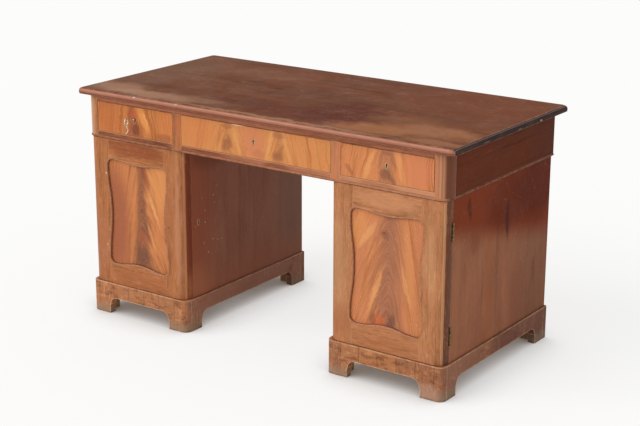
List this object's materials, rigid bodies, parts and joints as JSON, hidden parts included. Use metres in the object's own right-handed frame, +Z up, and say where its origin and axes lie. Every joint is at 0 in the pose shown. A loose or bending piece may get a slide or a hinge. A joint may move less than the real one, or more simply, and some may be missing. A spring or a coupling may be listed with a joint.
{
  "type": "pedestal writing desk",
  "caption": "Pedestal writing desk in mahogany with a moulded top, frieze drawers and cupboards with cartouche-panelled doors on bracket plinths.",
  "frame": {"origin": "on the floor, below the middle of the whole desk's box, the key in the left drawer included", "axes": "+X to the right as the sitter faces the drawers, +Y to the back, +Z up; the drawers and doors face -Y"},
  "size_m": [1.434, 0.742, 0.77],
  "materials": {
    "mahogany_top": "polished, worn, brown mahogany",
    "mahogany_case": "french-polished mahogany veneer, faded",
    "mahogany_dark": "french-polished mahogany, darker",
    "mahogany_figured": "french-polished flame mahogany veneer",
    "inside_wood": "plain unpolished wood",
    "aged_brass": "aged brass",
    "old_steel": "worn steel",
    "string": "pale cotton string"
  },
  "bodies": {
    "desk": {"desk_top": "mahogany_top", "frieze_end_left": "mahogany_case", "frieze_end_right": "mahogany_case", "frieze_corner_posts": "mahogany_case", "frieze_dividers": "mahogany_case", "frieze_bead": "mahogany_case", "pedestal_left_outer_side": "mahogany_case", "pedestal_left_inner_side": "mahogany_case", "pedestal_right_outer_side": "mahogany_case", "pedestal_right_inner_side": "mahogany_case", "plinth_left": "mahogany_case", "plinth_right": "mahogany_case", "frieze_top_rail": "mahogany_dark", "frieze_bottom_rail": "mahogany_dark", "frieze_back": "inside_wood", "frieze_partitions": "inside_wood", "drawer_deck": "inside_wood", "drawer_guides": "inside_wood", "pedestal_left_back": "inside_wood", "pedestal_left_top_and_bottom": "inside_wood", "pedestal_left_shelf": "inside_wood", "pedestal_right_back": "inside_wood", "pedestal_right_top_and_bottom": "inside_wood", "pedestal_right_shelf": "inside_wood", "shelf_cleats": "inside_wood", "plinth_glue_blocks": "inside_wood", "plinth_bearers": "inside_wood", "door_locks": "aged_brass", "hinge_case_leaves": "aged_brass", "hinge_pins": "old_steel"},
    "left_drawer": {"drawer_left_front": "mahogany_figured", "drawer_left_sides_and_back": "inside_wood", "drawer_left_bottom": "inside_wood", "drawer_left_lock": "aged_brass"},
    "left_drawer_bolt": {"drawer_left_bolt": "old_steel"},
    "middle_drawer": {"drawer_middle_front": "mahogany_figured", "drawer_middle_sides_and_back": "inside_wood", "drawer_middle_bottom": "inside_wood", "drawer_middle_lock": "aged_brass"},
    "middle_drawer_bolt": {"drawer_middle_bolt": "old_steel"},
    "right_drawer": {"drawer_right_front": "mahogany_figured", "drawer_right_sides_and_back": "inside_wood", "drawer_right_bottom": "inside_wood", "drawer_right_lock": "aged_brass"},
    "right_drawer_bolt": {"drawer_right_bolt": "old_steel"},
    "left_door": {"door_left_stiles": "mahogany_case", "door_left_rails": "mahogany_case", "door_left_panel": "mahogany_figured", "door_left_bead": "mahogany_case", "door_left_hinge_leaves": "aged_brass"},
    "left_door_bolt": {"door_left_bolt": "old_steel"},
    "right_door": {"door_right_stiles": "mahogany_case", "door_right_rails": "mahogany_case", "door_right_panel": "mahogany_figured", "door_right_bead": "mahogany_case", "door_right_hinge_leaves": "aged_brass"},
    "right_door_bolt": {"door_right_bolt": "old_steel"},
    "key": {"drawer_key": "old_steel", "key_string": "string"}
  },
  "joints": [
    {"name": "left_drawer_slide", "type": "slide", "parent": "desk", "child": "left_drawer", "axis": [0, -1, 0], "range_m": [0, 0.45]},
    {"name": "middle_drawer_slide", "type": "slide", "parent": "desk", "child": "middle_drawer", "axis": [0, -1, 0], "range_m": [0, 0.45]},
    {"name": "right_drawer_slide", "type": "slide", "parent": "desk", "child": "right_drawer", "axis": [0, -1, 0], "range_m": [0, 0.45]},
    {"name": "left_door_hinge", "type": "hinge", "parent": "desk", "child": "left_door", "pos_m": [-0.6856, -0.28515, 0.3535], "axis": [0, 0, -1], "range_deg": [0, 180]},
    {"name": "right_door_hinge", "type": "hinge", "parent": "desk", "child": "right_door", "pos_m": [0.6856, -0.28515, 0.3535], "axis": [0, 0, 1], "range_deg": [0, 180]},
    {"name": "key_turn", "type": "hinge", "parent": "left_drawer", "child": "key", "pos_m": [-0.482, -0.324, 0.689], "axis": [0, 1, 0], "range_deg": [0, 360]},
    {"name": "left_drawer_bolt_slide", "type": "slide", "parent": "left_drawer", "child": "left_drawer_bolt", "axis": [0, 0, 1], "range_m": [0, 0.0095]},
    {"name": "middle_drawer_bolt_slide", "type": "slide", "parent": "middle_drawer", "child": "middle_drawer_bolt", "axis": [0, 0, 1], "range_m": [0, 0.008]},
    {"name": "right_drawer_bolt_slide", "type": "slide", "parent": "right_drawer", "child": "right_drawer_bolt", "axis": [0, 0, 1], "range_m": [0, 0.008]},
    {"name": "left_door_bolt_slide", "type": "slide", "parent": "desk", "child": "left_door_bolt", "axis": [0, -1, 0], "range_m": [0, 0.008]},
    {"name": "right_door_bolt_slide", "type": "slide", "parent": "desk", "child": "right_door_bolt", "axis": [0, -1, 0], "range_m": [0, 0.008]}
  ],
  "couplings": [
    {"joint": "left_drawer_bolt_slide", "follows": "key_turn", "m_per_rad": 0.0012732}
  ]
}
